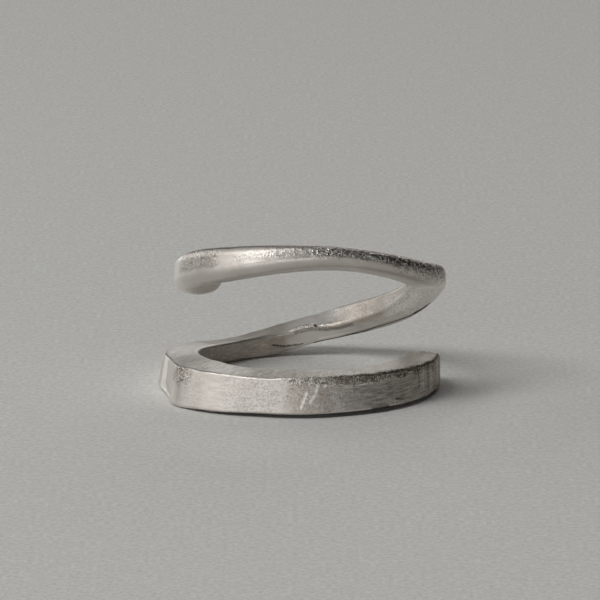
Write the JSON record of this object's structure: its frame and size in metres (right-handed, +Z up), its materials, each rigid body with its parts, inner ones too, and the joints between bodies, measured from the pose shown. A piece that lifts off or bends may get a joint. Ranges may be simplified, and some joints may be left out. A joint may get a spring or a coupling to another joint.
{
  "type": "open coil ring",
  "caption": "Hand-filed silver finger ring, one open strand wound as a wide lower band and a slim inclined upper band, for wear on a finger.",
  "frame": {"origin": "on the finger axis, at the floor that the lower band's underside rests on; the box's bottom centre is there to within 0.2 mm", "axes": "+Z up along the finger axis, from the lower band to the upper one; -Y to the front, the side where both bands pass in full; +X to the right, the side of the lower band's cut end"},
  "size_m": [0.0228, 0.023, 0.0133],
  "materials": {
    "silver": "raw satin silver, filed and pitted, darkened in its pits"
  },
  "bodies": {
    "root": {"coil_band": "silver"}
  },
  "joints": []
}
